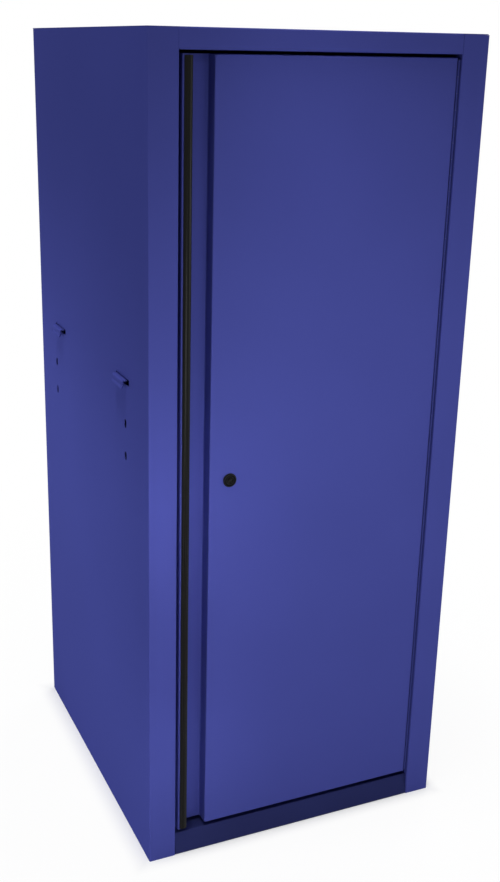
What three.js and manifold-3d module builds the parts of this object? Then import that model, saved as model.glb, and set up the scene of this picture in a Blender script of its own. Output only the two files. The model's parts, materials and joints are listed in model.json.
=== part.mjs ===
// Side locker for a tool chest: a tall folded-steel cabinet with one inset door, hung from the chest by two
// hooks on its left side. Millimetres, +Z up, the door faces -Y.
import * as THREE from 'three';
import { mergeVertices } from 'three/addons/utils/BufferGeometryUtils.js';
import Module from 'manifold-3d';

const wasm = await Module();
wasm.setup();

// Overall size of the carcass
const width = 564;
const depth = 620;
const height = 1372;

// Sheet metal
const sheet = 1.2; // steel of the carcass, the door and the shelves
const bend = 1.0; // inside radius of a folded corner
const seat = 0.2; // gap between pieces that rest on, or are welded to, each other

// Front frame
const stileWidth = 47.5;
const stileReturn = 32; // how far back the stile's inner edge is folded
const stileLip = 12; // stiffening lip at the end of that fold
const topRail = 30.5;
const topRailReturn = 24;
const topRailLip = 9;
const topSeam = 0.25; // open seam between the top rail and each stile
const topCorner = 4; // clipped front corners of the top sheet
const sillHeight = 41;
const railLean = 6; // how far the bottom rail leans back at its top
const railSeam = 0.4; // open seam between the bottom rail and each stile
const sillDepth = 48;
const railFoot = 26; // flange of the bottom rail on the ground

// Flanges of the side, back and floor sheets
const rearFlange = 16;
const topFlange = 18;
const bottomFlange = 25;
const backFlange = 15;
const flangeSetback = 42; // where the side sheets' top and bottom flanges start behind the front

// Hooks and bolt holes on the left side
const hookSteel = 2.5;
const hookLength = 51;
const hookGap = 5; // room for the chest's sheet behind a hook
const hookDrop = 13.5; // from the web's top face down to the tip
const hookTipFlare = 2;
const hookTipHeight = 4.5;
const hookPlate = 45; // welded plate inside, above the slot
const slotLength = 65;
const slotHeight = 11;
const slotCorner = 3;
const slotTop = 844;
const slotFront = 90; // front end of the front slot, from the front of the cabinet
const hookFromSlotFront = 13;
const hookClearance = 3; // from the hook's web up to the slot's edge
const hookPitch = 362;
const boltSlotWidth = 10;
const boltSlotHeight = 15;
const boltFront = 110;
const boltPitch = 407;
const boltLow = 711.5;
const boltRise = 55;

// Door
const doorInset = 5; // front face of the door behind the front of the stiles
const doorGapTop = 5;
const doorGapBottom = 7;
const doorGapHinge = 4.2;
const doorGapPull = 6;
const doorDepth = 24; // fold from the front face to the back of the finger channel
const doorFlange = 14;
const channelBend = 2.5; // inside radius between the finger channel's back and its right wall
const pullWidth = 50.5; // from the door's free edge to the flat face
const lipInset = 4;
const lipFlange = 14.2;
const trimInset = 2.7; // from the door's free edge to the trim
const trimRim = 0.8; // thickness of the trim at its edge
const trimCrown = 2.4; // rise of its rounded front above that
const trimWall = 1.4;
const trimTongue = 8; // tongue that grips behind the lip
const trimSteps = 5; // facets of the trim's front, in pairs
const trimShort = 2; // the trim stops this far short of the door's ends
const hatWidth = 50;
const hatBrim = 20;
const hatHeight = 17;
const hatSheet = 1.0;
const hatEndClearance = 26;

// Lock
const lockFromSide = 139;
const lockHeight = 688;
const bezelRadius = 11.5;
const bezelHeight = 3.5;
const bezelChamfer = 1.5;
const barrelRadius = 9.4;
const barrelLength = 26; // behind the door's face
const barrelFlats = 16; // across the two flats that keep the barrel from turning
const plugRadius = 6.35;
const plugRecess = 0.8;
const keyGrooveInner = 3.4;
const keyGrooveOuter = 4.9;
const keyGrooveDepth = 2.5;
const keyNotch = 1.8;
const lockFit = 0.25; // running clearance of the plug and the nut
const nutFlats = 26;
const nutThickness = 4;
const camReach = 58;
const camWidth = 17;
const camSteel = 2;
const camSquare = 7;
const camClearance = 0.5; // between the cam and the strike
const screwHeadRadius = 4.6;
const screwHeadHeight = 2.8;
const screwShankRadius = 1.9;
const screwShankLength = 9;
const strikeSteel = 2;
const strikeHeight = 32;
const camOverlap = 8; // how far the turned cam reaches behind the strike
const strikeCorner = 6;

// Hinge
const knuckleRadius = 1.8;
const pinRadius = 0.9;
const pinFit = 0.15;
const hingeBehindFace = 0.5; // pin axis behind the door's face
const leafSteel = 0.8;
const leafWidth = 20;
const hingeEnd = 3; // from the hinge's ends to the door's ends
const knuckleCount = 51;
const knuckleGap = 0.4;

// Magnetic catches
const catchFromEnd = 190; // from the door's ends to the catch
const catchHeight = 44;
const catchWidth = 24;
const catchDepth = 13;
const catchFoot = 12;
const catchFootSteel = 2;
const catchPlateSteel = 1;
const catchAir = 0.4; // between the magnet and its plate

// Shelves and what carries them
const standardWidth = 18;
const standardDepth = 6;
const standardFront = 66; // centre of the front standards behind the front
const standardRear = 58; // centre of the rear standards before the back
const standardClearance = 20; // above the floor and below the top
const slotPitch = 72;
const firstSlot = 36;
const standardSlotWidth = 4.2;
const standardSlotHeight = 14;
const shelfSlots = { lower: 3, middle: 7, upper: 11 };
const shelfFront = 58; // front edge behind the front of the cabinet
const shelfRearGap = 8;
const shelfEdge = 25; // height of the folded edges
const shelfHem = 12;
const shelfGap = 1.5; // between the shelf's side and the clips
const clipSteel = 1.5;
const clipWidth = 14;
const clipLedge = 14;
const clipRise = 26;
const clipTab = 3.4;
const clipTabHeight = 11;

// Places that follow from the sizes
const half = width / 2;
const stileEdge = half - stileWidth;
const wall = half - sheet; // inner face of a side sheet
const sideTop = height - sheet - seat;
const doorTop = height - topRail - doorGapTop;
const doorBottom = sillHeight + doorGapBottom;
const doorLeft = -stileEdge + doorGapPull;
const doorRight = stileEdge - doorGapHinge;
const faceLeft = doorLeft + pullWidth;
const doorBack = doorInset + doorDepth + sheet;
const hingeX = (doorRight + stileEdge) / 2;
const hingeY = doorInset + hingeBehindFace;
const lockX = -half + lockFromSide;
const stileBack = stileReturn + seat; // what is welded behind the stile's lip starts here
const strikeBack = stileBack + strikeSteel;
const camFront = strikeBack + camClearance;
const camBack = camFront + camSteel;
const tipCosine = hookTipHeight / Math.hypot(hookTipHeight, hookTipFlare);
const hookReach = hookGap + hookTipFlare + (hookSteel / 2) * (1 + tipCosine);
const floorTop = sillHeight - sheet - seat;
const floorFront = stileReturn + 2 * seat;
const backFace = depth - 2 * sheet - seat; // front face of the back sheet
const webFace = wall - seat - standardDepth; // inner face of a shelf standard
const standardBottom = sillHeight + standardClearance;
const standardTop = height - topRail - standardClearance;
const shelfHalf = webFace - seat - clipSteel - shelfGap;
const slotZ = (index) => standardBottom + firstSlot + index * slotPitch;

// Finishes
const finish = (color, roughness, metalness) => new THREE.MeshStandardMaterial({ color, roughness, metalness });
const bluePaint = finish(0x414694, 0.42, 0.1);
const railPaint = finish(0x24284f, 0.5, 0.1);
const blackTrim = finish(0x121212, 0.25, 0);
const blackZinc = finish(0x191a1b, 0.35, 0.6);
const zincPlate = finish(0xa9abab, 0.35, 0.9);
const blackPlastic = finish(0x1d1d1f, 0.55, 0);

// A closed solid from a geometry: shared corners are merged and collapsed triangles are left out.
function solid(geometry) {
  geometry.deleteAttribute('normal');
  geometry.deleteAttribute('uv');
  const merged = mergeVertices(geometry);
  const index = merged.index.array;
  const triangles = [];
  for (let i = 0; i < index.length; i += 3) {
    const [a, b, c] = index.subarray(i, i + 3);
    if (a !== b && b !== c && c !== a) triangles.push(a, b, c);
  }
  return new wasm.Manifold(new wasm.Mesh({
    numProp: 3,
    vertProperties: merged.attributes.position.array,
    triVerts: new Uint32Array(triangles),
  }));
}

function geometryOf(body) {
  const mesh = body.getMesh();
  const geometry = new THREE.BufferGeometry();
  geometry.setAttribute('position', new THREE.BufferAttribute(mesh.vertProperties, 3));
  geometry.setIndex(new THREE.BufferAttribute(mesh.triVerts, 1));
  geometry.computeVertexNormals();
  return geometry;
}

const union = (...bodies) => bodies.reduce((whole, body) => whole.add(body));
const cut = (body, ...tools) => tools.reduce((whole, tool) => whole.subtract(tool), body);

// A folded strip of sheet metal, drawn by its centre line, with a round bend at each corner. A corner with a third
// value has that inside radius of its own.
function strip(points, thickness = sheet, insideRadius = bend) {
  const path = points.map(([x, y]) => new THREE.Vector2(x, y));
  const side = thickness / 2;
  const last = path.length - 1;
  const heading = path.slice(1).map((point, i) => point.clone().sub(path[i]).normalize());
  const normal = heading.map((h) => new THREE.Vector2(-h.y, h.x));
  const corners = [];
  for (let i = 1; i < last; i += 1) {
    const middle = (points[i][2] ?? insideRadius) + side;
    const turn = Math.sign(heading[i - 1].cross(heading[i]));
    const angle = heading[i - 1].angleTo(heading[i]);
    const start = path[i].clone().addScaledVector(heading[i - 1], -middle * Math.tan(angle / 2));
    const centre = start.clone().addScaledVector(normal[i - 1], turn * middle);
    const from = normal[i - 1].clone().multiplyScalar(-turn).angle();
    corners.push({ centre, middle, turn, from, to: from + turn * angle });
  }
  const shape = new THREE.Shape();
  const end = (point, n, offset) => [point.x + n.x * offset, point.y + n.y * offset];
  shape.moveTo(...end(path[0], normal[0], side));
  for (const { centre, middle, turn, from, to } of corners) {
    shape.absarc(centre.x, centre.y, middle - turn * side, from, to, turn < 0);
  }
  shape.lineTo(...end(path[last], normal[last - 1], side));
  shape.lineTo(...end(path[last], normal[last - 1], -side));
  for (const { centre, middle, turn, from, to } of corners.reverse()) {
    shape.absarc(centre.x, centre.y, middle + turn * side, to, from, turn > 0);
  }
  shape.lineTo(...end(path[0], normal[0], -side));
  return shape;
}

// Extrusions: a plan outline along Z, a (y, z) outline along X, an (x, z) outline along Y.
function extrude(shape, length, curveSegments = 2) {
  return new THREE.ExtrudeGeometry(shape, { depth: length, bevelEnabled: false, curveSegments });
}
const alongZ = (shape, from, to, curveSegments) => solid(
  extrude(shape, to - from, curveSegments).translate(0, 0, from),
);
const alongX = (shape, from, to) => solid(
  extrude(shape, to - from).rotateX(Math.PI / 2).rotateZ(Math.PI / 2).translate(from, 0, 0),
);
const alongY = (shape, from, to) => solid(extrude(shape, to - from).rotateX(Math.PI / 2).translate(0, to, 0));

function roundedRectangle([left, low], [right, high], radius) {
  const outline = new THREE.Shape();
  outline.absarc(right - radius, low + radius, radius, -Math.PI / 2, 0);
  outline.absarc(right - radius, high - radius, radius, 0, Math.PI / 2);
  outline.absarc(left + radius, high - radius, radius, Math.PI / 2, Math.PI);
  outline.absarc(left + radius, low + radius, radius, Math.PI, Math.PI * 1.5);
  return outline;
}

function block(low, high) {
  const size = high.map((value, i) => value - low[i]);
  const geometry = new THREE.BoxGeometry(...size);
  return solid(geometry.translate(...low.map((value, i) => value + size[i] / 2)));
}

function rod(radius, from, to, sides) {
  const axis = new THREE.Vector3().subVectors(to, from);
  const geometry = new THREE.CylinderGeometry(radius, radius, axis.length(), sides);
  const turn = new THREE.Quaternion().setFromUnitVectors(new THREE.Vector3(0, 1, 0), axis.clone().normalize());
  return solid(geometry.applyQuaternion(turn).translate(...from.clone().addScaledVector(axis, 0.5).toArray()));
}

// A turned piece round the lock's axis, from (radius, y) pairs that run round its section.
function turned(section, sides = 32) {
  const points = section.map(([radius, y]) => new THREE.Vector2(radius, y));
  return solid(new THREE.LatheGeometry(points, sides).translate(lockX, 0, lockHeight));
}

// The lock's barrel, or its hole, with a flat on each side behind the given place.
function flatSided(round, from, clearance) {
  const flat = barrelFlats / 2 + clearance;
  const reach = 2 * barrelRadius;
  const to = doorInset + barrelLength + reach;
  const sides = [[lockX - reach, lockX - flat], [lockX + flat, lockX + reach]];
  return cut(round, ...sides.map(([left, right]) => block(
    [left, from, lockHeight - reach],
    [right, to, lockHeight + reach],
  )));
}

const locker = new THREE.Group();

function piece(name, body, material) {
  const mesh = new THREE.Mesh(geometryOf(body), material);
  mesh.name = name;
  locker.add(mesh);
}

// Side sheets: wall, stile and its return in one fold, with flanges inwards at the back, top and bottom.
function sideSheet(hand) {
  const skin = half - sheet / 2;
  const plan = [
    [stileEdge + sheet / 2 + stileLip, stileReturn - sheet / 2],
    [stileEdge + sheet / 2, stileReturn - sheet / 2],
    [stileEdge + sheet / 2, sheet / 2],
    [skin, sheet / 2],
    [skin, depth - sheet / 2],
    [skin - rearFlange, depth - sheet / 2],
  ];
  const flange = (z, reach, rise) => [[skin, z + rise], [skin, z], [skin - reach, z]];
  const mirror = (points) => points.map(([x, y]) => [hand * x, y]);
  const flangeEnd = depth - rearFlange - sheet;
  return union(
    alongZ(strip(mirror(plan)), 0, sideTop),
    alongY(strip(mirror(flange(sideTop - sheet / 2, topFlange, -topFlange))), flangeSetback, flangeEnd),
    alongY(strip(mirror(flange(sheet / 2, bottomFlange, bottomFlange))), flangeSetback, flangeEnd),
  );
}

const hookSlots = [0, hookPitch].map((step) => slotFront + step);

function leftSide() {
  const openings = hookSlots.map((front) => roundedRectangle(
    [front, slotTop - slotHeight],
    [front + slotLength, slotTop],
    slotCorner,
  ));
  const across = boltSlotWidth / 2;
  const along = boltSlotHeight / 2;
  for (const y of [boltFront, boltFront + boltPitch]) {
    for (const z of [boltLow, boltLow + boltRise]) {
      openings.push(roundedRectangle([y - across, z - along], [y + across, z + along], across));
    }
  }
  return cut(sideSheet(-1), ...openings.map((outline) => alongX(outline, -half - sheet, -wall + sheet)));
}

piece('left_side_panel', leftSide(), bluePaint);
piece('right_side_panel', sideSheet(1), bluePaint);

// Top sheet with its front rail, which is folded down between the stiles.
function topSheet() {
  const plate = new THREE.Shape();
  plate.moveTo(-half + topCorner, 0);
  plate.lineTo(half - topCorner, 0);
  plate.lineTo(half, topCorner);
  plate.lineTo(half, depth);
  plate.lineTo(-half, depth);
  plate.lineTo(-half, topCorner);
  const rim = sheet / 2;
  const low = height - topRail + rim;
  const rail = [
    [topRailReturn * 2, height - rim],
    [rim, height - rim],
    [rim, low],
    [topRailReturn, low],
    [topRailReturn, low + topRailLip],
  ];
  const foldedEdge = block([-stileEdge, -sheet, height - 2 * sheet], [stileEdge, topRailReturn, height + sheet]);
  return union(
    cut(alongZ(plate, height - sheet, height), foldedEdge),
    alongX(strip(rail), -stileEdge + topSeam, stileEdge - topSeam),
  );
}
piece('top_panel', topSheet(), bluePaint);

// Back sheet, folded forwards at its top and bottom, inside the side sheets' rear flanges.
function backSheet() {
  const middle = backFace + sheet / 2;
  const low = sheet * 1.5 + seat;
  const high = sideTop - sheet / 2;
  const profile = [[middle - backFlange, low], [middle, low], [middle, high], [middle - backFlange, high]];
  return alongX(strip(profile), -wall + topFlange + seat, wall - topFlange - seat);
}

// Its edges run on past the folds to lie behind the rear flanges.
function backEdges() {
  const low = sheet + seat + backFlange;
  const edge = wall - bend - seat;
  return block([-edge, backFace, low], [edge, backFace + sheet, sideTop - backFlange]);
}
piece('back_panel', union(backSheet(), backEdges()), bluePaint);

// Floor sheet: an inverted tray between the side sheets, its front edge under the sill.
function floorSheet() {
  const rim = wall - seat - sheet / 2;
  const foot = 2 * sheet + 3 * seat;
  const profile = [[-rim, foot], [-rim, floorTop - sheet / 2], [rim, floorTop - sheet / 2], [rim, foot]];
  return alongY(strip(profile), floorFront, backFace - seat);
}
piece('floor_panel', floorSheet(), bluePaint);

// Bottom rail: sill, leaning front and a flange on the ground.
function bottomRail() {
  const rim = sheet / 2;
  const profile = [
    [railLean + sillDepth, sillHeight - rim],
    [railLean + rim, sillHeight - rim],
    [rim, rim],
    [railFoot, rim],
  ];
  return alongX(strip(profile), -stileEdge + railSeam, stileEdge - railSeam);
}
piece('bottom_rail', bottomRail(), railPaint);

// Hanging hooks: plates welded inside, passed out through a slot and turned down.
function hangingHook(front) {
  const plateX = -wall + seat + hookSteel / 2;
  const legX = -half - hookGap - hookSteel / 2;
  const webTop = slotTop - hookClearance;
  const web = webTop - hookSteel / 2;
  const tip = webTop - hookDrop;
  const profile = [
    [plateX, slotTop + hookPlate],
    [plateX, web],
    [legX, web],
    [legX, tip + hookTipHeight],
    [legX - hookTipFlare, tip],
  ];
  return alongY(strip(profile, hookSteel), front + hookFromSlotFront, front + hookFromSlotFront + hookLength);
}
piece('hanging_hook_front', hangingHook(hookSlots[0]), bluePaint);
piece('hanging_hook_rear', hangingHook(hookSlots[1]), bluePaint);

// Shelf standards: slotted channels welded upright to the side sheets.
const standards = { front: standardFront, rear: depth - standardRear };
const hands = { left: -1, right: 1 };

function shelfStandard(hand, y) {
  const foot = hand * (wall - seat);
  const web = hand * (webFace + sheet / 2);
  const rim = standardWidth / 2 - sheet / 2;
  const channel = strip([[foot, y - rim], [web, y - rim], [web, y + rim], [foot, y + rim]]);
  const slots = [];
  for (let z = slotZ(0); z < standardTop - firstSlot / 2; z += slotPitch) {
    slots.push(block(
      [Math.min(web, hand * webFace) - sheet, y - standardSlotWidth / 2, z - standardSlotHeight / 2],
      [Math.max(web, hand * webFace) + sheet, y + standardSlotWidth / 2, z + standardSlotHeight / 2],
    ));
  }
  return cut(alongZ(channel, standardBottom, standardTop), ...slots);
}

for (const [sideName, hand] of Object.entries(hands)) {
  for (const [endName, y] of Object.entries(standards)) {
    piece(`shelf_standard_${sideName}_${endName}`, shelfStandard(hand, y), zincPlate);
  }
}

// Shelves: trays with hemmed front and rear edges and plain side edges, on clips in the standards' slots.
const ledgeTop = (slot) => slotZ(slot) - clipRise / 2;

function shelf(slot) {
  const rim = sheet / 2;
  const top = ledgeTop(slot) + seat + shelfEdge - rim;
  const front = shelfFront + rim;
  const rear = backFace - shelfRearGap - rim;
  const low = ledgeTop(slot) + seat + rim;
  const tray = [[front + shelfHem, low], [front, low], [front, top], [rear, top], [rear, low], [rear - shelfHem, low]];
  const edge = shelfHalf - rim;
  const sides = [-1, 1].map((hand) => alongY(
    strip([[hand * edge, ledgeTop(slot) + seat], [hand * edge, top], [hand * (edge - shelfHem), top]]),
    front + sheet,
    rear - sheet,
  ));
  return union(alongX(strip(tray), -edge + bend + rim, edge - bend - rim), ...sides);
}

function shelfClip(slot, hand, y) {
  const leg = webFace - seat - clipSteel / 2;
  const ledge = ledgeTop(slot) - clipSteel / 2;
  const profile = [[leg, ledge + clipRise], [leg, ledge], [leg - clipLedge, ledge]];
  const tab = [leg, webFace + sheet + 2 * seat].map((x) => hand * x).sort((a, b) => a - b);
  return union(
    alongY(strip(profile.map(([x, z]) => [hand * x, z]), clipSteel), y - clipWidth / 2, y + clipWidth / 2),
    block(
      [tab[0], y - clipTab / 2, slotZ(slot) - clipTabHeight / 2],
      [tab[1], y + clipTab / 2, slotZ(slot) + clipTabHeight / 2],
    ),
  );
}

for (const [level, slot] of Object.entries(shelfSlots)) {
  piece(`shelf_${level}`, shelf(slot), bluePaint);
  for (const [sideName, hand] of Object.entries(hands)) {
    for (const [endName, y] of Object.entries(standards)) {
      piece(`shelf_clip_${level}_${sideName}_${endName}`, shelfClip(slot, hand, y), zincPlate);
    }
  }
}

// Door skin: one fold from the pull lip through the finger channel and the flat face to the hinge edge.
function doorSkin() {
  const rim = sheet / 2;
  const face = doorInset + rim;
  const back = doorBack - rim;
  const lip = doorLeft + rim;
  const step = faceLeft + rim;
  const edge = doorRight - rim;
  const plan = [
    [doorLeft + lipFlange, lipInset + rim],
    [lip, lipInset + rim],
    [lip, back],
    [step, back, channelBend],
    [step, face],
    [edge, face],
    [edge, back],
    [edge - doorFlange, back],
  ];
  const endFold = (z, inward) => alongX(
    strip([[face, z + inward * doorFlange], [face, z], [back, z]]),
    step + rim + bend,
    edge - rim - bend,
  );
  const corner = sheet + bend;
  const ends = [
    block([faceLeft, doorInset - sheet, doorTop - corner], [doorRight - corner, doorInset + corner, doorTop + sheet]),
    block([faceLeft, doorInset - sheet, doorBottom - sheet], [doorRight - corner, doorInset + corner, doorBottom + corner]),
  ];
  const lockHole = flatSided(rod(
    barrelRadius + lockFit,
    new THREE.Vector3(lockX, doorInset - sheet, lockHeight),
    new THREE.Vector3(lockX, doorInset + 2 * sheet, lockHeight),
    32,
  ), doorInset - 2 * sheet, lockFit);
  return cut(
    union(
      cut(alongZ(strip(plan), doorBottom, doorTop), ...ends),
      endFold(doorBottom + rim, 1),
      endFold(doorTop - rim, -1),
    ),
    lockHole,
  );
}
piece('door_skin', doorSkin(), bluePaint);

// Hat-section stiffener, welded upright behind the flat face.
function doorStiffener() {
  const rim = hatSheet / 2;
  const brim = doorInset + sheet + seat + rim;
  const crown = brim + hatHeight;
  const centre = (faceLeft + doorRight) / 2;
  const web = hatWidth / 2;
  const foot = web + hatBrim;
  const plan = [[-foot, brim], [-web, brim], [-web, crown], [web, crown], [web, brim], [foot, brim]];
  const placed = plan.map(([x, y]) => [centre + x, y]);
  return alongZ(strip(placed, hatSheet), doorBottom + hatEndClearance, doorTop - hatEndClearance);
}
piece('door_stiffener', doorStiffener(), bluePaint);

// Black trim with a rounded front, slotted to push onto the free edge of the lip's flange along the whole pull.
function handleTrim() {
  const left = doorLeft + trimInset;
  const right = doorLeft + lipFlange + seat + trimWall;
  const flangeFront = lipInset - seat;
  const flangeBack = lipInset + sheet + seat;
  const rim = flangeFront - trimRim;
  const reach = (right - left) / 2;
  const crownRadius = (reach ** 2 + trimCrown ** 2) / (2 * trimCrown);
  const spread = Math.asin(reach / crownRadius);
  const front = -Math.PI / 2;
  const outline = new THREE.Shape();
  outline.moveTo(left, flangeFront);
  outline.absarc(left + reach, rim - trimCrown + crownRadius, crownRadius, front - spread, front + spread);
  outline.lineTo(right, flangeBack + trimWall);
  outline.lineTo(right - trimTongue, flangeBack + trimWall);
  outline.lineTo(right - trimTongue, flangeBack);
  outline.lineTo(right - trimWall, flangeBack);
  outline.lineTo(right - trimWall, flangeFront);
  return alongZ(outline, doorBottom + trimShort, doorTop - trimShort, trimSteps);
}
piece('handle_trim', handleTrim(), blackTrim);

// Tubular key lock: flanged barrel, plug with its ring groove, nut, cam and cam screw.
function lockBody() {
  const front = doorInset - bezelHeight;
  const bore = plugRadius + lockFit;
  const shoulder = doorInset - seat;
  const end = doorInset + barrelLength;
  const round = turned([
    [bore, front],
    [bezelRadius - bezelChamfer, front],
    [bezelRadius, front + bezelChamfer],
    [bezelRadius, shoulder],
    [barrelRadius, shoulder],
    [barrelRadius, end],
    [bore, end],
    [bore, front],
  ]);
  return flatSided(round, shoulder, 0);
}
piece('lock_body', lockBody(), blackZinc);

function lockPlug() {
  const front = doorInset - bezelHeight + plugRecess;
  const end = camFront - seat;
  const floor = front + keyGrooveDepth;
  const core = turned([
    [0, front],
    [keyGrooveInner, front],
    [keyGrooveInner, floor],
    [keyGrooveOuter, floor],
    [keyGrooveOuter, front],
    [plugRadius, front],
    [plugRadius, end],
    [0, end],
  ]);
  const tail = camSquare / 2;
  const square = block([lockX - tail, end - seat, lockHeight - tail], [lockX + tail, camBack - seat, lockHeight + tail]);
  const notch = block(
    [lockX - keyNotch / 2, front - seat, lockHeight + keyGrooveOuter - seat],
    [lockX + keyNotch / 2, floor, lockHeight + plugRadius + seat],
  );
  const screwHole = rod(
    screwShankRadius + lockFit,
    new THREE.Vector3(lockX, camBack - screwShankLength - seat, lockHeight),
    new THREE.Vector3(lockX, camBack + seat, lockHeight),
    16,
  );
  return cut(union(core, square), notch, screwHole);
}
piece('lock_plug', lockPlug(), blackZinc);

function lockNut() {
  const corner = nutFlats / Math.sqrt(3);
  const front = doorInset + sheet + seat;
  const hexagon = rod(
    corner,
    new THREE.Vector3(lockX, front, lockHeight),
    new THREE.Vector3(lockX, front + nutThickness, lockHeight),
    6,
  );
  const bore = rod(
    barrelRadius + lockFit,
    new THREE.Vector3(lockX, front - sheet, lockHeight),
    new THREE.Vector3(lockX, front + nutThickness + sheet, lockHeight),
    32,
  );
  return cut(hexagon, bore);
}
piece('lock_nut', lockNut(), zincPlate);

// The cam hangs down when the lock is open and points to the strike, on the left, when it is locked.
function lockCam() {
  const r = camWidth / 2;
  const outline = new THREE.Shape();
  outline.absarc(lockX, lockHeight, r, 0, Math.PI);
  outline.absarc(lockX, lockHeight - camReach + r, r, Math.PI, 2 * Math.PI);
  const hole = camSquare / 2 + lockFit;
  const square = block(
    [lockX - hole, camFront - sheet, lockHeight - hole],
    [lockX + hole, camBack + sheet, lockHeight + hole],
  );
  return cut(alongY(outline, camFront, camBack), square);
}
piece('lock_cam', lockCam(), zincPlate);

function camScrew() {
  const seatY = camBack + seat;
  return turned([
    [0, camBack - screwShankLength],
    [screwShankRadius, camBack - screwShankLength],
    [screwShankRadius, seatY],
    [screwHeadRadius, seatY],
    [screwHeadRadius, seatY + screwHeadHeight / 2],
    [screwHeadRadius * 0.7, seatY + screwHeadHeight],
    [0, seatY + screwHeadHeight],
  ], 16);
}
piece('cam_screw', camScrew(), zincPlate);

// Strike: a flat keeper welded behind the left stile's lip, which the turned cam reaches behind.
function lockStrike() {
  const right = lockX - camReach + camOverlap;
  const left = -stileEdge - stileLip;
  const low = lockHeight - strikeHeight / 2;
  const high = lockHeight + strikeHeight / 2;
  const outline = new THREE.Shape();
  outline.moveTo(left, low);
  outline.absarc(right - strikeCorner, low + strikeCorner, strikeCorner, -Math.PI / 2, 0);
  outline.absarc(right - strikeCorner, high - strikeCorner, strikeCorner, 0, Math.PI / 2);
  outline.lineTo(left, high);
  return alongY(outline, stileBack, strikeBack);
}
piece('lock_strike', lockStrike(), zincPlate);

// Magnetic catches behind the left stile, and the plates that they hold on the back of the finger channel.
const catchPlateBack = doorBack + seat + catchPlateSteel;
const catchLeft = -stileEdge + seat;
const catches = { upper: doorTop - catchFromEnd, lower: doorBottom + catchFromEnd };

function magnetCatch(z) {
  const front = catchPlateBack + catchAir;
  const low = z - catchHeight / 2;
  const high = z + catchHeight / 2;
  return union(
    block([catchLeft, front, low], [catchLeft + catchWidth, front + catchDepth, high]),
    block([catchLeft - catchFoot, stileBack, low], [catchLeft + seat, stileBack + catchFootSteel, high]),
  );
}

function catchPlate(z) {
  const rim = catchHeight / 2 - 2 * catchAir;
  const left = doorLeft + sheet;
  const right = catchLeft + catchWidth;
  return block([left, doorBack + seat, z - rim], [right, catchPlateBack, z + rim]);
}

for (const [level, z] of Object.entries(catches)) {
  piece(`magnet_catch_${level}`, magnetCatch(z), blackPlastic);
  piece(`catch_plate_${level}`, catchPlate(z), zincPlate);
}

// Continuous hinge: two leaves with interleaved knuckles on one pin.
const hingeLow = doorBottom + hingeEnd;
const hingeHigh = doorTop - hingeEnd;
const knucklePitch = (hingeHigh - hingeLow) / knuckleCount;

function knuckleRod(radius, first, grow, sides) {
  const z = hingeLow + first * knucklePitch;
  const from = new THREE.Vector3(hingeX, hingeY, z - grow);
  const to = new THREE.Vector3(hingeX, hingeY, z + knucklePitch + grow);
  return rod(radius, from, to, sides);
}

function hingeLeaf(hand, firstKnuckle) {
  const outer = hand < 0 ? doorRight + seat : stileEdge - seat;
  const inner = outer - hand * leafSteel;
  let leaf = block(
    [Math.min(outer, inner), hingeY, hingeLow],
    [Math.max(outer, inner), hingeY + leafWidth, hingeHigh],
  );
  for (let i = 0; i < knuckleCount; i += 1) {
    const own = i % 2 === firstKnuckle;
    leaf = own
      ? union(leaf, knuckleRod(knuckleRadius, i, -knuckleGap / 2, 12))
      : cut(leaf, knuckleRod(knuckleRadius + knuckleGap, i, 0, 12));
  }
  const bore = rod(
    pinRadius + pinFit,
    new THREE.Vector3(hingeX, hingeY, hingeLow - sheet),
    new THREE.Vector3(hingeX, hingeY, hingeHigh + sheet),
    10,
  );
  return cut(leaf, bore);
}
piece('hinge_frame_leaf', hingeLeaf(1, 0), bluePaint);
piece('hinge_door_leaf', hingeLeaf(-1, 1), bluePaint);
piece('hinge_pin', rod(
  pinRadius,
  new THREE.Vector3(hingeX, hingeY, hingeLow),
  new THREE.Vector3(hingeX, hingeY, hingeHigh),
  10,
), zincPlate);

// The origin is under the middle of the whole, hooks included.
locker.position.set(hookReach / 2, -depth / 2, 0);

export default locker;
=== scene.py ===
import bpy
import json
import math
from mathutils import Euler, Matrix, Vector


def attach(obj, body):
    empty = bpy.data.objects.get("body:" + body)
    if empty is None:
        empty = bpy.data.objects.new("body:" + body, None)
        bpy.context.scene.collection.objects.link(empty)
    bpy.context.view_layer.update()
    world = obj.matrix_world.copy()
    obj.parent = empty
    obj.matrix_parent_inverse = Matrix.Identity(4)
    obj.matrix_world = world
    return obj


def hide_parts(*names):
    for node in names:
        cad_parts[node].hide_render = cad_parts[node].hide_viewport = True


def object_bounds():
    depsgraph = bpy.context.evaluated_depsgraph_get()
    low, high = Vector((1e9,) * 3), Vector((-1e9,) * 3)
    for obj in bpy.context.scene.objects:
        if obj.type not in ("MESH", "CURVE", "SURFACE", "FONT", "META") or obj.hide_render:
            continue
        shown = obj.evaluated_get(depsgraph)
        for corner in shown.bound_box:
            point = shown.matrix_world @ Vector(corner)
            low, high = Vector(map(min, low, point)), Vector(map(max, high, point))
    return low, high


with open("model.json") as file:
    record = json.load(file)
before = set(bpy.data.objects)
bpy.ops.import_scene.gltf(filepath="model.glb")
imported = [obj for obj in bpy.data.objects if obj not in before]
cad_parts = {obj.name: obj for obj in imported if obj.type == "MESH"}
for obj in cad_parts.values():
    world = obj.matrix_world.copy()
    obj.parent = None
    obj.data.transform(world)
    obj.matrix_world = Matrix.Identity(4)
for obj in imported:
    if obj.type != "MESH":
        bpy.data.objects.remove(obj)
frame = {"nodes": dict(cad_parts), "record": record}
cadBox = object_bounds()
nodes = frame["nodes"]
slotOfNode = {row["node"]: row["material_slot"] for row in frame["record"]["subparts"]}
bodies = frame["record"]["behaviour"]["bodies"]
bodyOfNode = {node: body for body, members in bodies.items() for node in members}
scene = bpy.context.scene
scene.view_settings.view_transform = "Standard"
print("frame loaded:", len(nodes), "nodes")


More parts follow.
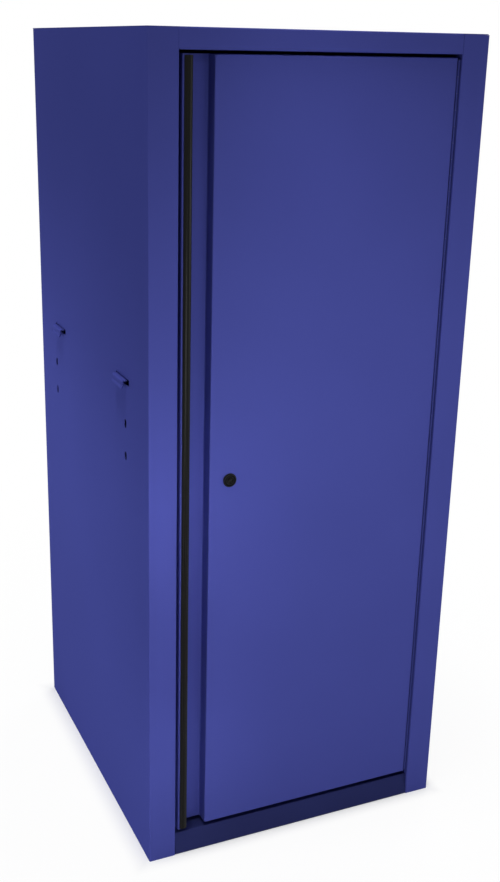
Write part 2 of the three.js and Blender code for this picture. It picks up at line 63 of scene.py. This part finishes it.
# small helpers
def paintColour(red, green, blue):
    # 0-255 screen values to the linear colour that the shader wants
    def linear(v):
        v = v / 255
        return v / 12.92 if v <= 0.04045 else ((v + 0.055) / 1.055) ** 2.4
    return (linear(red), linear(green), linear(blue), 1.0)


def deselectAll():
    if bpy.context.object and bpy.context.object.mode != "OBJECT":
        bpy.ops.object.mode_set(mode="OBJECT")
    bpy.ops.object.select_all(action="DESELECT")


def pickOnly(obj):
    deselectAll()
    obj.select_set(True)
    bpy.context.view_layer.objects.active = obj


# camera, solved from the carcass's corners in the photograph
photoCamera = {
    "place": (-0.8395, -1.8803, 1.3469),
    "azimuth": 23.769,  # degrees, towards +X from straight on
    "pitch": 18.161,  # degrees below the horizon
    "roll": 1.0945,
    "focal": 1153.17,  # pixels
    "axisPixel": (226.34, 424.55),  # where the lens's axis meets the picture
    "pictureSize": (500, 882),
    "sensor": 36,  # millimetres, along the picture's height
    "farClip": 100,
}


def makeCamera(spec):
    wide, tall = spec["pictureSize"]
    bpy.ops.object.camera_add(location=spec["place"])
    camera = bpy.context.object
    camera.name = "photo_camera"
    heading = Euler((math.radians(90 - spec["pitch"]), 0, -math.radians(spec["azimuth"]))).to_matrix()
    camera.rotation_euler = (heading @ Matrix.Rotation(math.radians(spec["roll"]), 3, "Z")).to_euler()
    camera.data.sensor_width = spec["sensor"]
    camera.data.lens = spec["focal"] * spec["sensor"] / tall
    camera.data.shift_x = (wide / 2 - spec["axisPixel"][0]) / tall
    camera.data.shift_y = (spec["axisPixel"][1] - tall / 2) / tall
    camera.data.clip_end = spec["farClip"]
    scene.camera = camera


makeCamera(photoCamera)
print("camera placed")


# materials, all on Object coordinates in metres
def newMaterial(name):
    material = bpy.data.materials.new(name)
    material.use_nodes = True
    tree = material.node_tree
    shader = tree.nodes["Principled BSDF"]
    place = tree.nodes.new("ShaderNodeTexCoord")
    return material, tree, shader, place.outputs["Object"]


def stretchedPlace(tree, place, scale):
    mapping = tree.nodes.new("ShaderNodeMapping")
    mapping.inputs["Scale"].default_value = scale
    tree.links.new(place, mapping.inputs["Vector"])
    return mapping.outputs["Vector"]


def noise(tree, place, scale, detail=2.0, rough=0.5):
    node = tree.nodes.new("ShaderNodeTexNoise")
    node.inputs["Scale"].default_value = scale
    node.inputs["Detail"].default_value = detail
    node.inputs["Roughness"].default_value = rough
    tree.links.new(place, node.inputs["Vector"])
    return node.outputs["Fac"]


noiseSpan = (0.3, 0.7)  # most of a noise's values lie in here


def between(tree, factor, low, high):
    # a number that follows the factor from low to high
    node = tree.nodes.new("ShaderNodeMapRange")
    node.inputs["From Min"].default_value, node.inputs["From Max"].default_value = noiseSpan
    node.inputs["To Min"].default_value, node.inputs["To Max"].default_value = low, high
    tree.links.new(factor, node.inputs["Value"])
    return node.outputs["Result"]


def blendColours(tree, factor, first, second):
    ramp = tree.nodes.new("ShaderNodeValToRGB")
    for element, position, colour in zip(ramp.color_ramp.elements, noiseSpan, (first, second)):
        element.position = position
        element.color = colour
    tree.links.new(factor, ramp.inputs["Fac"])
    return ramp.outputs["Color"]


def bumpFrom(tree, shader, height, distance, strength):
    bump = tree.nodes.new("ShaderNodeBump")
    bump.inputs["Distance"].default_value = distance
    bump.inputs["Strength"].default_value = strength
    tree.links.new(height, bump.inputs["Height"])
    tree.links.new(bump.outputs["Normal"], shader.inputs["Normal"])


# in the finishes a noise is (scale, detail, roughness) and a bump is (height in metres, strength)
bluePaint = {
    "dark": paintColour(65, 71, 143), "light": paintColour(69, 75, 150),
    "cloud": (2.2, 3.0), "peel": (420.0, 1.5, 0.4), "peelBump": (0.00004, 0.6), "rough": (0.36, 0.44),
    "flake": 0.18, "edgeTint": (0.45, 0.48, 0.8, 1.0),
}
# painted highlight: a lighter copy of the blue coat that goes on every rounded edge, standing in for the
# light the bends catch
bluePaintedHighlight = dict(
    bluePaint, dark=paintColour(69, 75, 150), light=paintColour(75, 81, 159), rough=(0.38, 0.46))
# painted shade: the bottom rail is coated a darker blue than the carcass, standing in for the shade that lies
# on it
railPaintedShade = {
    "dark": paintColour(39, 43, 86), "light": paintColour(43, 48, 95),
    "cloud": (3.0, 3.0), "peel": (420.0, 1.5, 0.4), "peelBump": (0.00004, 0.6), "rough": (0.5, 0.6),
    "flake": 0.16, "edgeTint": (0.45, 0.48, 0.8, 1.0),
}
# its rounded edges take a lighter copy of that dark coat: painted highlight on painted shade
railShadeAndHighlightEdge = dict(railPaintedShade, dark=paintColour(44, 49, 95), light=paintColour(50, 56, 105))
# painted shade: the hinge leaves are coated a darker blue, standing in for the shade in the hinge gap; their
# rounded edges take a lighter copy, a painted highlight
hingePaintedShade = dict(
    bluePaint, dark=paintColour(57, 62, 126), light=paintColour(61, 67, 134), rough=(0.5, 0.6))
hingeShadeAndHighlightEdge = dict(hingePaintedShade, dark=paintColour(62, 67, 134), light=paintColour(67, 73, 144))


def powderCoat(name, spec):
    material, tree, shader, place = newMaterial(name)
    cloud = noise(tree, place, *spec["cloud"])
    tree.links.new(blendColours(tree, cloud, spec["dark"], spec["light"]), shader.inputs["Base Color"])
    peel = noise(tree, place, *spec["peel"])
    tree.links.new(between(tree, cloud, *spec["rough"]), shader.inputs["Roughness"])
    shader.inputs["Metallic"].default_value = spec["flake"]
    shader.inputs["Specular IOR Level"].default_value = 0.0
    shader.inputs["Specular Tint"].default_value = spec["edgeTint"]
    bumpFrom(tree, shader, peel, *spec["peelBump"])
    return material


blackTrim = {
    "dark": paintColour(10, 10, 10), "light": paintColour(15, 15, 15),
    "draw": (900.0, 900.0, 6.0), "lines": (1.0, 2.0), "lineBump": (0.00002, 0.4),
    "rough": (0.22, 0.34), "specular": 0.09,
}
# painted highlight: a lighter black on the trim's rounded edges
blackTrimPaintedHighlight = dict(blackTrim, dark=paintColour(20, 20, 20), light=paintColour(27, 27, 27))


def drawnPlastic(name, spec):
    # extruded strip: faint die lines run along its length
    material, tree, shader, place = newMaterial(name)
    lines = noise(tree, stretchedPlace(tree, place, spec["draw"]), *spec["lines"])
    tree.links.new(blendColours(tree, lines, spec["dark"], spec["light"]), shader.inputs["Base Color"])
    tree.links.new(between(tree, lines, *spec["rough"]), shader.inputs["Roughness"])
    shader.inputs["Specular IOR Level"].default_value = spec["specular"]
    bumpFrom(tree, shader, lines, *spec["lineBump"])
    return material


lockBlack = {
    "dark": paintColour(10, 10, 10), "light": paintColour(16, 16, 16),
    "grain": (1500.0, 3.0), "grainBump": (0.00002, 0.5), "rough": (0.3, 0.45), "metal": 0.1, "specular": 0.02,
}
# painted highlight: a much lighter grey on the lock's rounded edges, a ring of light round the bezel
lockBlackPaintedHighlight = dict(lockBlack, dark=paintColour(46, 47, 50), light=paintColour(58, 59, 63))
plugBlack = dict(lockBlack, dark=paintColour(24, 24, 24), light=paintColour(31, 31, 31))
# painted highlight: a lighter black on the plug's rounded edges
plugBlackPaintedHighlight = dict(plugBlack, dark=paintColour(34, 34, 35), light=paintColour(44, 44, 45))
catchPlastic = {
    "dark": paintColour(26, 26, 28), "light": paintColour(33, 33, 35),
    "grain": (1800.0, 3.0), "grainBump": (0.00005, 0.5), "rough": (0.5, 0.62), "metal": 0.0, "specular": 0.3,
}
# painted highlight: a lighter grey on the catch's rounded edges
catchPlasticPaintedHighlight = dict(catchPlastic, dark=paintColour(40, 40, 42), light=paintColour(48, 48, 50))


def grainedBlack(name, spec):
    material, tree, shader, place = newMaterial(name)
    grain = noise(tree, place, *spec["grain"])
    tree.links.new(blendColours(tree, grain, spec["dark"], spec["light"]), shader.inputs["Base Color"])
    tree.links.new(between(tree, grain, *spec["rough"]), shader.inputs["Roughness"])
    shader.inputs["Metallic"].default_value = spec["metal"]
    shader.inputs["Specular IOR Level"].default_value = spec["specular"]
    bumpFrom(tree, shader, grain, *spec["grainBump"])
    return material


zincPlate = {
    "dark": paintColour(116, 119, 121), "light": paintColour(150, 152, 152),
    "spangle": (90.0, 4.0, 0.6), "spangleBump": (0.00002, 0.3), "rough": (0.36, 0.5),
}
# painted highlight: a lighter zinc on the plated parts' rounded edges
zincPlatePaintedHighlight = dict(zincPlate, dark=paintColour(140, 142, 142), light=paintColour(168, 169, 168))


def platedSteel(name, spec):
    material, tree, shader, place = newMaterial(name)
    spangle = noise(tree, place, *spec["spangle"])
    tree.links.new(blendColours(tree, spangle, spec["dark"], spec["light"]), shader.inputs["Base Color"])
    tree.links.new(between(tree, spangle, *spec["rough"]), shader.inputs["Roughness"])
    shader.inputs["Metallic"].default_value = 1.0
    bumpFrom(tree, shader, spangle, *spec["spangleBump"])
    return material


# each finish is a pair: the coat, and a lighter copy for the rounded edges that is a painted highlight
finishes = {
    "blue_paint": (powderCoat("blue_powder_coat", bluePaint), powderCoat("blue_powder_painted_highlight", bluePaintedHighlight)),
    "rail_paint": (powderCoat("rail_coat_painted_shade", railPaintedShade), powderCoat("rail_edge_painted_shade_and_highlight", railShadeAndHighlightEdge)),
    "hinge_painted_shade": (
        powderCoat("hinge_coat_painted_shade", hingePaintedShade), powderCoat("hinge_edge_painted_shade_and_highlight", hingeShadeAndHighlightEdge)),
    "black_trim": (drawnPlastic("trim_black", blackTrim), drawnPlastic("trim_black_painted_highlight", blackTrimPaintedHighlight)),
    "lock_black": (grainedBlack("lock_black", lockBlack), grainedBlack("lock_black_painted_highlight", lockBlackPaintedHighlight)),
    "plug_black": (grainedBlack("plug_black", plugBlack), grainedBlack("plug_black_painted_highlight", plugBlackPaintedHighlight)),
    "zinc_plate": (platedSteel("zinc_plate", zincPlate), platedSteel("zinc_plate_painted_highlight", zincPlatePaintedHighlight)),
    "catch_plastic": (
        grainedBlack("catch_plastic", catchPlastic), grainedBlack("catch_plastic_painted_highlight", catchPlasticPaintedHighlight)),
}
finishOfNode = {  # pieces whose coat differs from the rest of their slot: the hinge's darker coat is painted shade in the door gap, the lock plug is a lighter black
    "hinge_frame_leaf": "hinge_painted_shade", "hinge_door_leaf": "hinge_painted_shade", "lock_plug": "plug_black",
}
print("finishes made:", len(finishes))


# every sheet and fitting: a merged copy of its solid with its cut edges rounded off, the rounded edges taking
# a lighter copy of the finish as a painted highlight
sheetWork = {
    "sharp": 38.0,  # degrees; folded corners turn by less than this from facet to facet
    "edge": {"blue_paint": 0.00022, "rail_paint": 0.00022, "black_trim": 0.0002, "lock_black": 0.0003,
             "zinc_plate": 0.0002, "catch_plastic": 0.0008},
    "edgeSteps": 2,
    "merge": 0.000002,
    "flat": 0.3,  # degrees; facets that turn by less than this are one flat face
    "flatWeight": 100,  # the strongest pull towards the larger face
}


def roundEdges(piece, width, steps, sharp):
    bevel = piece.modifiers.new("cut_edges", "BEVEL")
    bevel.width = width
    bevel.segments = steps
    bevel.limit_method = "ANGLE"
    bevel.angle_limit = math.radians(sharp)
    # the rounded edges take the second finish, the lighter copy that is a painted highlight
    bevel.material = 1
    bevel.use_clamp_overlap = True
    pickOnly(piece)
    bpy.ops.object.modifier_apply(modifier=bevel.name)


def flattenFaces(piece, weight):
    # large faces rule the normals at their edges, so flat sheets shade flat beside their bends
    weighted = piece.modifiers.new("face_normals", "WEIGHTED_NORMAL")
    weighted.weight = weight
    weighted.keep_sharp = True
    pickOnly(piece)
    bpy.ops.object.modifier_apply(modifier=weighted.name)


def dressNode(node, spec):
    mesh = nodes[node].data.copy()
    mesh.materials.clear()
    piece = bpy.data.objects.new(node + "_finish", mesh)
    scene.collection.objects.link(piece)
    slotName = slotOfNode[node]
    for material in finishes[finishOfNode.get(node, slotName)]:
        mesh.materials.append(material)
    pickOnly(piece)
    bpy.ops.object.mode_set(mode="EDIT")
    bpy.ops.mesh.select_all(action="SELECT")
    bpy.ops.mesh.remove_doubles(threshold=spec["merge"])
    bpy.ops.mesh.dissolve_limited(angle_limit=math.radians(spec["flat"]))
    bpy.ops.object.mode_set(mode="OBJECT")
    roundEdges(piece, spec["edge"][slotName], spec["edgeSteps"], spec["sharp"])
    bpy.ops.object.shade_smooth_by_angle(angle=math.radians(spec["sharp"]))
    flattenFaces(piece, spec["flatWeight"])
    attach(piece, bodyOfNode[node])
    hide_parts(node)


for nodeName in sorted(nodes):
    dressNode(nodeName, sheetWork)
print("pieces dressed:", len(nodes))


# small fastenings that the solids leave out
def boxOf(node):
    corners = [nodes[node].matrix_world @ Vector(corner) for corner in nodes[node].bound_box]
    low, high = (Vector(map(pick, zip(*corners))) for pick in (min, max))
    return low, high, (low + high) / 2


def settleRow(piece, name, slotName, body, step, count):
    # repeats the piece along a step, then paints it and hangs it on its body
    piece.name = name
    pickOnly(piece)
    bpy.ops.object.transform_apply(location=True, rotation=True, scale=True)
    row = piece.modifiers.new("row", "ARRAY")
    row.count = count
    row.use_relative_offset = False
    row.use_constant_offset = True
    row.constant_offset_displace = step
    bpy.ops.object.modifier_apply(modifier=row.name)
    for material in finishes[slotName]:
        piece.data.materials.append(material)
    bpy.ops.object.shade_smooth_by_angle(angle=math.radians(sheetWork["sharp"]))
    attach(piece, body)


def facing(outward):
    return Vector(outward).to_track_quat("Z", "Y").to_euler()


# spot welds: the low round rims that the welding tips leave
weld = {"radius": 0.0027, "rim": 0.0006, "flat": 0.25, "sides": (24, 8)}


def weldRow(name, slotName, body, spot, outward, step, count):
    deselectAll()
    bpy.ops.mesh.primitive_torus_add(
        major_segments=weld["sides"][0], minor_segments=weld["sides"][1],
        major_radius=weld["radius"], minor_radius=weld["rim"], location=spot, rotation=facing(outward))
    bpy.context.object.scale.z = weld["flat"]
    settleRow(bpy.context.object, name, slotName, body, step, count)


rearSeam = {"flangeMiddle": 0.008, "fromEnd": 0.06, "pitch": 0.1135, "count": 12}
hatSeam = {"brimMiddle": 0.010, "brimSteel": 0.001, "fromEnd": 0.03, "pitch": 0.10896, "count": 12}
hatLow, hatHigh, _ = boxOf("door_stiffener")
for side, inward in (("left", 1), ("right", -1)):
    panelLow, panelHigh, _ = boxOf(side + "_side_panel")
    panelEdge, hatEdge = (panelLow.x, hatLow.x) if side == "left" else (panelHigh.x, hatHigh.x)
    weldRow("rear_seam_welds_" + side, "blue_paint", "cabinet",
            (panelEdge + inward * rearSeam["flangeMiddle"], panelHigh.y, rearSeam["fromEnd"]),
            (0, 1, 0), (0, 0, rearSeam["pitch"]), rearSeam["count"])
    weldRow("stiffener_welds_" + side, "blue_paint", "door",
            (hatEdge + inward * hatSeam["brimMiddle"], hatLow.y + hatSeam["brimSteel"],
             hatLow.z + hatSeam["fromEnd"]),
            (0, 1, 0), (0, 0, hatSeam["pitch"]), hatSeam["count"])

hookPlate = {"fromTop": 0.014, "apart": 0.03, "count": 2}
for hookEnd in ("front", "rear"):
    _, hookHigh, hookMiddle = boxOf("hanging_hook_" + hookEnd)
    weldRow("hook_plate_welds_" + hookEnd, "blue_paint", "cabinet",
            (hookHigh.x, hookMiddle.y - hookPlate["apart"] / 2, hookHigh.z - hookPlate["fromTop"]),
            (1, 0, 0), (0, hookPlate["apart"], 0), hookPlate["count"])


# weld bead in the seam between the left stile and the top rail: one flat ripple, repeated up the seam
bead = {
    "radius": 0.0011, "proud": 0.0006, "pitch": 0.0016, "count": 17,
    "fromTop": 1.5,  # pitches from the top sheet to the highest ripple
    "inset": 0.0005, "depth": 0.0004, "sides": (16, 8),
}


def seamBead(name):
    railLow = boxOf("bottom_rail")[0]
    topHigh = boxOf("top_panel")[1]
    lowest = topHigh.z - bead["pitch"] * (bead["count"] - 1 + bead["fromTop"])
    deselectAll()
    bpy.ops.mesh.primitive_uv_sphere_add(
        segments=bead["sides"][0], ring_count=bead["sides"][1], radius=bead["radius"],
        location=(railLow.x - bead["inset"], cadBox[0][1] + bead["depth"], lowest),
        rotation=facing((0, -1, 0)))
    bpy.context.object.scale.z = bead["proud"] / bead["radius"]
    settleRow(bpy.context.object, name, "blue_paint", "cabinet", (0, 0, bead["pitch"]), bead["count"])


seamBead("top_seam_bead_left")


# magnet catches: two steel pole strips on the magnet, two flush rivets in its plate
pole = {
    "size": (0.0024, 0.0006, 0.038), "apart": 0.011, "proud": 0.0002, "fromRight": 0.012,
    "corner": 0.00018, "cornerSteps": 2, "count": 2,
}
rivet = {
    "radius": 0.0023, "rim": 0.0017, "proud": 0.00018, "dish": 0.0001, "apart": 0.027,
    "sides": 28, "count": 2,
}


def poleStrips(level):
    low, high, middle = boxOf("magnet_catch_" + level)
    left = high.x - pole["fromRight"] - pole["apart"] / 2
    deselectAll()
    bpy.ops.mesh.primitive_cube_add(
        size=1, location=(left, low.y - pole["proud"] + pole["size"][1] / 2, middle.z))
    strip = bpy.context.object
    strip.scale = pole["size"]
    bpy.ops.object.transform_apply(location=False, rotation=False, scale=True)
    bpy.ops.object.mode_set(mode="EDIT")
    bpy.ops.mesh.select_all(action="SELECT")
    bpy.ops.mesh.bevel(offset=pole["corner"], segments=pole["cornerSteps"])
    bpy.ops.object.mode_set(mode="OBJECT")
    settleRow(strip, "magnet_poles_" + level, "zinc_plate", "cabinet", (pole["apart"], 0, 0), pole["count"])


def plateRivets(level):
    # a flat head with a dished middle, half sunk in the plate
    _, high, middle = boxOf("catch_plate_" + level)
    deselectAll()
    bpy.ops.mesh.primitive_cylinder_add(
        vertices=rivet["sides"], radius=rivet["radius"], depth=2 * rivet["proud"],
        location=(middle.x, high.y, middle.z - rivet["apart"] / 2), rotation=facing((0, 1, 0)))
    head = bpy.context.object
    outer = [face.index for face in head.data.polygons if face.normal.z > 0.9]  # the end that is seen
    bpy.ops.object.mode_set(mode="EDIT")
    bpy.ops.mesh.select_all(action="DESELECT")
    bpy.ops.object.mode_set(mode="OBJECT")
    for index in outer:
        head.data.polygons[index].select = True
    bpy.ops.object.mode_set(mode="EDIT")
    bpy.ops.mesh.select_mode(type="FACE")
    bpy.ops.mesh.inset(thickness=rivet["radius"] - rivet["rim"])
    bpy.ops.transform.translate(value=(0, 0, -rivet["dish"]), orient_type="LOCAL")
    bpy.ops.object.mode_set(mode="OBJECT")
    settleRow(head, "plate_rivets_" + level, "zinc_plate", "door", (0, 0, rivet["apart"]), rivet["count"])


for level in ("upper", "lower"):
    poleStrips(level)
    plateRivets(level)
print("fastenings added")


# floor, world and soft studio light
studio = {
    "floorRadius": 9.0,
    "floorSides": 96,
    "floorColour": (0.82, 0.82, 0.82, 1.0),
    "floorRough": 0.9,
    "foot": (-0.02, 0.03),  # metres out from the object's foot, where the floor turns from lit to white
    "far": (0.1, 1.2),  # metres out from the foot, where the last of the lit floor fades
    "footWhite": 0.92,  # share of white close to the foot
    "ambient": 0.07,
}
suns = {  # height above the floor, turn round from the front and spread, all in degrees
    "overhead": {"height": 82, "turn": -60, "spread": 20, "strength": 2.65},
}
lamps = {
    "front_middle": {
        "place": (-0.2, -1.6, 0.6), "aim": (-0.1, -0.31, 0.64),
        "size": (0.4, 0.4), "spread": 56, "power": 0.53},
    "front_left": {
        "place": (-0.8, -2.1, 0.7), "aim": (-0.27, -0.31, 0.62),
        "size": (0.25, 0.25), "spread": 14, "power": 0.135},
    "front_left_low": {
        "place": (-0.8, -2.1, 0.3), "aim": (-0.275, -0.31, 0.2),
        "size": (0.25, 0.25), "spread": 16, "power": 0.14},
    "right_middle": {
        "place": (3.0, -2.2, 0.8), "aim": (0.0, -0.31, 0.6),
        "size": (0.6, 0.6), "spread": 25, "power": 0.72},
    "right_low": {
        "place": (3.2, -2.1, 0.3), "aim": (0.0, -0.31, 0.25),
        "size": (0.6, 0.6), "spread": 25, "power": 0.44},
    "door_high": {
        "place": (0.1, -2.1, 2.2), "aim": (0.02, -0.31, 1.0),
        "size": (0.3, 0.3), "spread": 22, "power": 0.2},
    "door_top": {
        "place": (-0.05, -2.1, 2.4), "aim": (-0.03, -0.31, 1.27),
        "size": (0.2, 0.2), "spread": 11, "power": 0.04},
    "left_rear": {
        "place": (-2.2, 1.2, 0.6), "aim": (-0.28, 0.33, 0.62),
        "size": (0.5, 0.5), "spread": 25, "power": 0.455},
    "left_low": {
        "place": (-2.0, -0.3, 0.3), "aim": (-0.28, -0.1, 0.12),
        "size": (0.6, 0.6), "spread": 50, "power": 0.56},
    "rear_right": {
        "place": (2.0, 1.8, 1.6), "aim": (0.2, 0.2, 0.7),
        "size": (1.6, 1.2), "spread": 110, "power": 14.0},
}


def mathNode(tree, operation, first, second):
    node = tree.nodes.new("ShaderNodeMath")
    node.operation = operation
    for socket, value in zip(node.inputs, (first, second)):
        if isinstance(value, float):
            socket.default_value = value
        else:
            tree.links.new(value, socket)
    return node.outputs[0]


def whiteRays(tree):
    # 1 for rays that see the background straight, in a reflection or through glass
    rays = tree.nodes.new("ShaderNodeLightPath")
    reflected = mathNode(tree, "MAXIMUM", rays.outputs["Is Glossy Ray"], rays.outputs["Is Transmission Ray"])
    return mathNode(tree, "MAXIMUM", rays.outputs["Is Camera Ray"], reflected)


def smoothStep(tree, value, spread, low, high):
    node = tree.nodes.new("ShaderNodeMapRange")
    node.interpolation_type = "SMOOTHSTEP"
    node.inputs["From Min"].default_value, node.inputs["From Max"].default_value = spread
    node.inputs["To Min"].default_value, node.inputs["To Max"].default_value = low, high
    tree.links.new(value, node.inputs["Value"])
    return node.outputs["Result"]


def makeFloor(spec):
    # lit floor that keeps the object's shadow at its foot and is plain white further off
    deselectAll()
    bpy.ops.mesh.primitive_circle_add(
        vertices=spec["floorSides"], radius=spec["floorRadius"], fill_type="NGON")
    floor = bpy.context.object
    floor.name = "studio_floor"
    material, tree, shader, place = newMaterial("studio_floor")
    shader.inputs["Base Color"].default_value = spec["floorColour"]
    shader.inputs["Roughness"].default_value = spec["floorRough"]
    shader.inputs["Specular IOR Level"].default_value = 0.0
    axes = tree.nodes.new("ShaderNodeSeparateXYZ")
    tree.links.new(place, axes.inputs[0])
    across = [
        mathNode(tree, "SUBTRACT", mathNode(tree, "ABSOLUTE", axes.outputs[i], 0.0), cadBox[1][i])
        for i in (0, 1)
    ]
    fromFoot = mathNode(tree, "MAXIMUM", *across)
    near = smoothStep(tree, fromFoot, spec["foot"], 0.0, 1.0)
    far = smoothStep(tree, fromFoot, spec["far"], spec["footWhite"], 1.0)
    share = mathNode(tree, "MULTIPLY", mathNode(tree, "MULTIPLY", near, far), whiteRays(tree))
    white = tree.nodes.new("ShaderNodeEmission")
    mix = tree.nodes.new("ShaderNodeMixShader")
    tree.links.new(share, mix.inputs["Fac"])
    tree.links.new(shader.outputs[0], mix.inputs[1])
    tree.links.new(white.outputs[0], mix.inputs[2])
    tree.links.new(mix.outputs[0], tree.nodes["Material Output"].inputs["Surface"])
    floor.data.materials.append(material)


def makeWorld(spec):
    world = bpy.data.worlds.new("studio")
    scene.world = world
    world.use_nodes = True
    tree = world.node_tree
    lit = tree.nodes["Background"]
    lit.inputs["Color"].default_value = (1, 1, 1, 1)
    lit.inputs["Strength"].default_value = spec["ambient"]
    seen = tree.nodes.new("ShaderNodeBackground")
    seen.inputs["Color"].default_value = (1, 1, 1, 1)
    mix = tree.nodes.new("ShaderNodeMixShader")
    tree.links.new(whiteRays(tree), mix.inputs["Fac"])
    tree.links.new(lit.outputs[0], mix.inputs[1])
    tree.links.new(seen.outputs[0], mix.inputs[2])
    tree.links.new(mix.outputs[0], tree.nodes["World Output"].inputs["Surface"])


def makeLamp(name, spec):
    bpy.ops.object.light_add(type="AREA", location=spec["place"])
    lamp = bpy.context.object
    lamp.name = name
    lamp.data.shape = "RECTANGLE"
    lamp.data.size, lamp.data.size_y = spec["size"]
    lamp.data.spread = math.radians(spec["spread"])
    lamp.data.energy = spec["power"]
    aim = Vector(spec["aim"]) - Vector(spec["place"])
    lamp.rotation_euler = aim.to_track_quat("-Z", "Y").to_euler()


def makeSun(name, spec):
    bpy.ops.object.light_add(type="SUN")
    sun = bpy.context.object
    sun.name = name
    sun.data.energy = spec["strength"]
    sun.data.angle = math.radians(spec["spread"])
    sun.rotation_euler = (math.radians(90 - spec["height"]), 0, math.radians(spec["turn"]))


makeFloor(studio)
makeWorld(studio)
for sunName, sunSpec in suns.items():
    makeSun(sunName, sunSpec)
for lampName, lampSpec in lamps.items():
    makeLamp(lampName, lampSpec)
print("studio lit:", len(suns) + len(lamps), "lamps")
